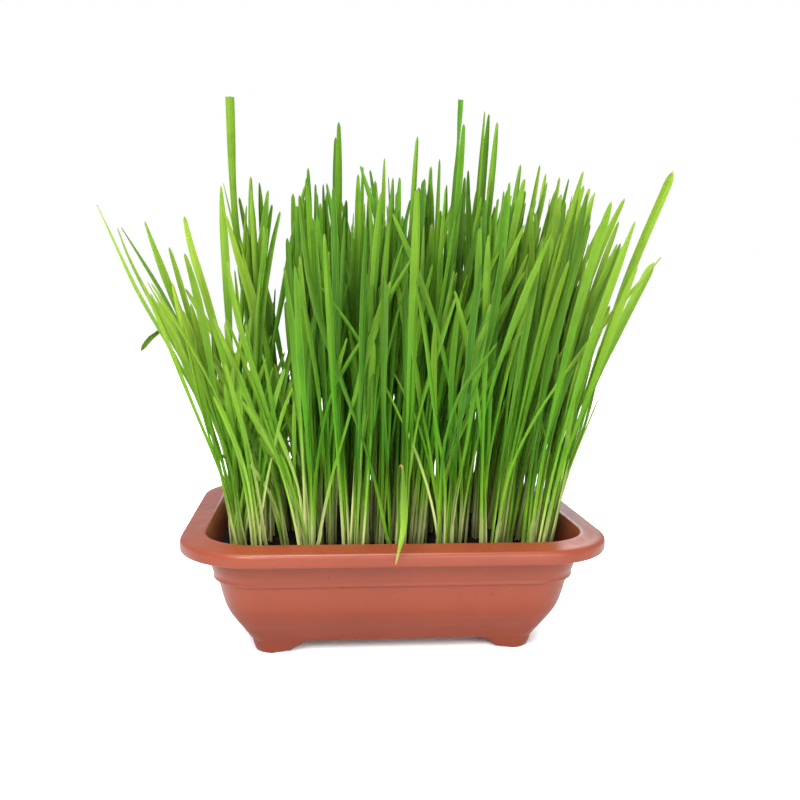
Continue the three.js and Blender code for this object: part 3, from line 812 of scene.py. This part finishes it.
def neighbour(first, towards=None):
    """The leaf of a seedling beside the first one, or nothing if there is no room.

    With towards, the leaf is a short one whose tip leans to that x.
    """
    for _ in range(6):
        share = 1 - (0.75 if first.waist else 0.26) * rng.random() ** (0.4 if first.waist else 1.4)
        if first.centres[-1][0] < LONE_FAN:
            share = rng.uniform(0.5, 1.0)
        if first.waist:
            share = min(share, BESIDE_CUT)
        if towards is not None:
            share = rng.uniform(0.4, 0.65)
        t = np.linspace(0, 1, 7)
        way = first.at(t * share)
        angle, distance = rng.uniform(0, math.tau), rng.uniform(1.4, 3.0)
        foot = keep_in_pot(way[0] + distance * np.array([math.cos(angle), math.sin(angle), 0]))
        spread = 9 if rng.random() < 0.8 else 24
        lean = np.array([rng.gauss(0, spread), rng.gauss(0, 9), -1.0 - 6 * rng.random()])
        if towards is not None:
            lean[0] = towards + rng.gauss(0, 5) - way[-1][0]
        way = way + (foot - way[0]) + lean * t[:, None] ** 2
        width = rng.uniform(2.5, 3.8) + (0.8 if abs(way[-1][0]) > ENDS else 0)
        leaf = Leaf(way, facing_forward(way), width, stem=rng.uniform(1.1, 1.5),
                    opening=opening(way[-1][2] - way[0][2]))
        if has_room(leaf):
            return [leaf]
    return []


def opening(tall):
    """The shares of its length between which a stem opens into a blade, which is never low down."""
    start = max(rng.uniform(0.28, 0.48), min(0.6, 60 / tall))
    return start, start + rng.uniform(0.3, 0.44)


def facing_forward(way):
    """A blade's width, roughly across the tray."""
    facing = min(0.9, max(-0.9, rng.gauss(0, 0.6)))
    return np.tile([math.cos(facing), math.sin(facing), 0.0], (len(way), 1))


def second_leaf(first):
    """A younger leaf that comes out of the first one's sheath, or nothing if there is no room."""
    for _ in range(5):
        start, end = rng.uniform(0.1, 0.3), 1.0 - 0.35 * rng.random() ** 2
        if first.centres[-1][2] > LONE_TALL:
            end = rng.uniform(0.6, 0.85)
        origin = first.at([start])[0]
        ahead = first.heading(np.array([start]))[0]
        goal = first.at([end])[0]
        inward = -1 if goal[0] > 0 else 1
        sideways = rng.uniform(4, 14) * (inward if abs(goal[0]) > 60 else rng.choice([-1, 1]))
        goal = goal + np.array([sideways, rng.uniform(-10, 10), -rng.uniform(1, 9)])
        knee = origin + ahead * np.linalg.norm(goal - origin) * rng.uniform(0.4, 0.55)
        t = np.linspace(0, 1, 8)[:, None]
        way = (1 - t) ** 2 * origin + 2 * t * (1 - t) * knee + t**2 * goal
        across = facing_forward(way)
        leaf = Leaf(way, across, first.width * rng.uniform(0.65, 0.95), stem=1.0, opening=(0.2, 0.8))
        if has_room(leaf):
            return [leaf]
    return []


def sheath_leaf(first):
    """The pale sheath round a stem's foot."""
    tall = rng.uniform(12, 24) / first.length
    way = first.at(np.linspace(0, tall, 5))
    across = np.tile(first.across[0], (5, 1))
    sheath = Leaf(way, across, first.stem + 0.35, kind="sheath")
    sheath.hue, sheath.tone = first.hue, first.tone
    return sheath


def leaf_from(sections, middle):
    """The frame's leaf, with a stem that starts a little under the soil and nearer its tuft's middle."""
    centres, across, widths = (list(column) for column in zip(*sections))
    pull = (middle - centres[0][:2]) * GATHERED
    for k, centre in enumerate(centres):
        fade = 1 - smoothstep(0, GATHERED_BELOW, centre[2] - SOIL_TOP)
        centres[k] = centre + np.append(pull * fade, 0)
    centres.insert(0, centres[0] + 5 * unit(centres[0] - centres[1]))
    across.insert(0, across[0])
    widest = max(widths) * rng.uniform(0.94, 1.08)
    is_cut = np.linalg.norm(centres[-1] - centres[-2]) < 3
    waist = None
    if is_cut:
        waist = (0.72, 50) if widest > 4 else (0.5, 24)
    tall = max(c[2] for c in centres) - SOIL_TOP
    bent = centres[-1][2] - SOIL_TOP < tall - 3
    hangs = centres[-1][2] < RIM_TOP
    if abs(centres[-1][0]) > ENDS and not bent:
        across = [unit(side + np.array([math.copysign(1.0, side[0]), 0, 0])) for side in across]
    if hangs:
        widest = 3.6
    elif centres[-1][0] > LONE_RIGHT:
        widest *= 1.12
    elif not is_cut and not bent:
        widest *= min(0.8 if centres[-1][0] < LONE_FAN else 0.9, 0.6 + 0.4 * tall / 150)
    stem = 1.0 if hangs else rng.uniform(1.15, 1.6)
    opens = (0.6, 0.82) if hangs else opening(tall)
    return Leaf(centres, across, widest, stem=stem, waist=waist, bent=bent, opening=opens)


def painted_shade_among_stems(points):
    """How much painted shade darkens a point: 1 low down in the middle of the stand, and 0 at its edge and
    where the blades open.
    """
    reach = np.array([PLANTER_LENGTH, PLANTER_DEPTH]) / 2 - STEM_INSET
    inside = 1 - (np.abs(points[:, :2]) / reach).max(axis=1)
    return smoothstep(0.2, 0.6, inside) * smoothstep(62, 18, points[:, 2] - SOIL_TOP)


def companions(first):
    """The leaves that are added round one of the frame's leaves."""
    added = []
    at_end = abs(first.centres[-1][0]) > ENDS
    for chance in END_NEIGHBOUR_CHANCES if at_end else NEIGHBOUR_CHANCES:
        if rng.random() < chance:
            added += neighbour(first)
    if BRIDGED[0] < first.centres[0][0] < BRIDGED[1]:
        for offset in BRIDGE_OFFSETS:
            added += neighbour(first, towards=PARTINGS[0][0] + offset)
    for chance in SECOND_LEAF_CHANCES:
        if rng.random() < chance and not first.waist:
            added += second_leaf(first)
    return added


def tuft_leaves(node):
    """The frame's leaves of a tuft, each followed by those that are added to it."""
    leaves = []
    shoots = read_leaves(node)
    middle = np.mean([sections[0][0][:2] for sections in shoots], axis=0)
    for sections in shoots:
        first = leaf_from(sections, middle)
        leaves.append(first)
        if rng.random() < SHEATH_CHANCE:
            leaves.append(sheath_leaf(first))
        if not first.bent and first.length >= SHORT and first.centres[-1][1] >= STANDS_ALONE:
            leaves += companions(first)
    return leaves


def make_tuft(node, material):
    """The tuft's leaves as one mesh, each with a strip of the bake's map to itself."""
    leaves = tuft_leaves(node)
    strip = 1 / len(leaves)
    points, faces, count = [], [], 0
    maps = {name: [] for name in ("blade", "OFBake", "growth", "dry", "shade")}
    for number, leaf in enumerate(leaves):
        leaf_points, leaf_faces, shares = leaf_mesh(leaf)
        points.append(leaf_points)
        faces += [tuple(count + k for k in face) for face in leaf_faces]
        count += len(leaf_points)
        along, around = shares.T
        rise = np.clip((leaf_points[:, 2] - SOIL_TOP) / CANOPY, 0, 1)
        aged = along * (0.25 if leaf.kind == "sheath" else 1)
        tone, hue = np.full(len(along), leaf.tone), np.full(len(along), fan_hue(leaf))
        maps["blade"].append(np.column_stack([around, along * leaf.length / 20]))
        maps["OFBake"].append(np.column_stack([(number + 0.06 + 0.88 * around) * strip, 0.01 + 0.98 * along]))
        maps["growth"].append(np.column_stack([aged, rise, tone, hue]))
        maps["dry"].append(leaf.dryness(along))
        maps["shade"].append(painted_shade_among_stems(leaf_points))
    piece = add_mesh(node.replace("tuft", "grass"), np.concatenate(points), faces)
    piece.data.materials.append(material)
    piece.data.set_sharp_from_angle(angle=math.radians(50))
    add_maps(piece.data, {name: np.concatenate(values) for name, values in maps.items()})
    return piece


def add_maps(mesh, maps):
    """The mesh's UV maps and the values that the leaf material reads, from values for each point."""
    corner = np.empty(len(mesh.loops), int)
    mesh.loops.foreach_get("vertex_index", corner)
    for name in ("blade", "OFBake"):
        mesh.uv_layers.new(name=name).data.foreach_set("uv", maps[name][corner].ravel())
    growth = mesh.color_attributes.new("growth", "FLOAT_COLOR", "POINT")
    growth.data.foreach_set("color", maps["growth"].ravel())
    for name in ("dry", "shade"):
        mesh.attributes.new(name, "FLOAT", "POINT").data.foreach_set("value", maps[name])


# ---------------------------------------------------------------- scene

def make_camera():
    yaw, pitch, roll = CAMERA_YAW, CAMERA_PITCH, CAMERA_ROLL
    ahead = Vector((math.sin(yaw) * math.cos(pitch), math.cos(yaw) * math.cos(pitch), -math.sin(pitch)))
    right = Vector((math.cos(yaw), -math.sin(yaw), 0))
    up = right.cross(ahead)
    turned_right = right * math.cos(roll) + up * math.sin(roll)
    turned_up = up * math.cos(roll) - right * math.sin(roll)
    camera = bpy.data.objects.new("camera", bpy.data.cameras.new("camera"))
    camera.data.sensor_width = SENSOR
    camera.data.lens = SENSOR * FOCAL_LENGTH
    camera.data.clip_start = 0.01
    turn = Matrix((turned_right, turned_up, -ahead)).transposed()
    camera.matrix_world = Matrix.Translation(CAMERA_PLACE) @ turn.to_4x4()
    bpy.context.scene.collection.objects.link(camera)
    bpy.context.scene.camera = camera


def make_lamp(name, place, target, size, watts):
    lamp = bpy.data.lights.new(name, "AREA")
    lamp.shape = "DISK"
    lamp.size = size
    lamp.energy = watts
    shown = bpy.data.objects.new(name, lamp)
    shown.location = place
    shown.rotation_euler = (Vector(target) - Vector(place)).to_track_quat("-Z", "Y").to_euler()
    bpy.context.scene.collection.objects.link(shown)


def make_world():
    """A white background that lights the scene only a little, and more in reflections."""
    world = bpy.data.worlds.new("studio")
    world.use_nodes = True
    world.node_tree.nodes.clear()
    g = Graph(world.node_tree)
    rays = g.node("ShaderNodeLightPath").outputs
    mirrored = g.math("MULTIPLY", rays["Is Glossy Ray"], MIRRORED_LIGHT)
    strength = g.math("MAXIMUM", g.math("MAXIMUM", rays["Is Camera Ray"], mirrored), WORLD_LIGHT)
    background = g.node("ShaderNodeBackground", inputs={"Color": (1, 1, 1, 1), "Strength": strength})
    g.node("ShaderNodeOutputWorld", inputs={"Surface": background.outputs[0]})
    bpy.context.scene.world = world


def make_floor():
    """A pale floor that the camera sees bright, and less bright in a patch under the planter as painted
    shade, so only the shadow under the planter stands out.
    """
    corners = [(x * FLOOR_HALF, y * FLOOR_HALF, 0) for x, y in ((-1, -1), (1, -1), (1, 1), (-1, 1))]
    floor = add_mesh("floor", corners, [(0, 1, 2, 3)])
    material, g = new_material("floor")
    seen = g.node("ShaderNodeLightPath").outputs["Is Camera Ray"]
    paint = g.mix(seen, (0.9, 0.9, 0.9, 1), (1, 1, 1, 1))
    lit = g.node("ShaderNodeBsdfDiffuse", inputs={"Color": paint})
    place = g.place()
    away = g.node("ShaderNodeVectorMath", operation="LENGTH", inputs={0: place}).outputs["Value"]
    axes = g.node("ShaderNodeSeparateXYZ", inputs={"Vector": place}).outputs
    past_end = g.math("SUBTRACT", g.math("ABSOLUTE", axes[0]), PAINTED_SHADE_FOOTPRINT[0])
    past_side = g.math("SUBTRACT", g.math("ABSOLUTE", axes[1]), PAINTED_SHADE_FOOTPRINT[1])
    # Painted shade: little glow inside the planter's footprint, so its shadow shows there, and glow around it
    # that washes out the rest of its cast shadow.
    near = g.span(g.math("MAXIMUM", past_end, past_side), 0.0, 0.02, 0.05, 0.8)
    far = g.span(away, 0.3, 1.2, 0.0, 0.4)
    strength = g.math("MULTIPLY", seen, g.math("ADD", near, far))
    glow = g.node("ShaderNodeEmission", inputs={"Color": (1, 1, 1, 1), "Strength": strength})
    both = g.node("ShaderNodeAddShader", inputs={0: lit.outputs[0], 1: glow.outputs[0]})
    g.output(both.outputs[0])
    floor.data.materials.append(material)


def place_piece(piece, node):
    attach(piece, "root")
    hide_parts(node)


make_camera()
make_world()
make_floor()
for name, settings in LAMPS.items():
    make_lamp(name, *settings)

place_piece(make_planter(planter_material()), "planter")
place_piece(make_soil(soil_material()), "soil")
bark = bark_material()
leaf_green = leaf_material()
for node in sorted(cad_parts):
    if node.startswith("bark_chip"):
        place_piece(make_bark(node, bark), node)
    elif node.startswith("tuft"):
        place_piece(make_tuft(node, leaf_green), node)

bpy.context.scene.view_settings.view_transform = "Standard"
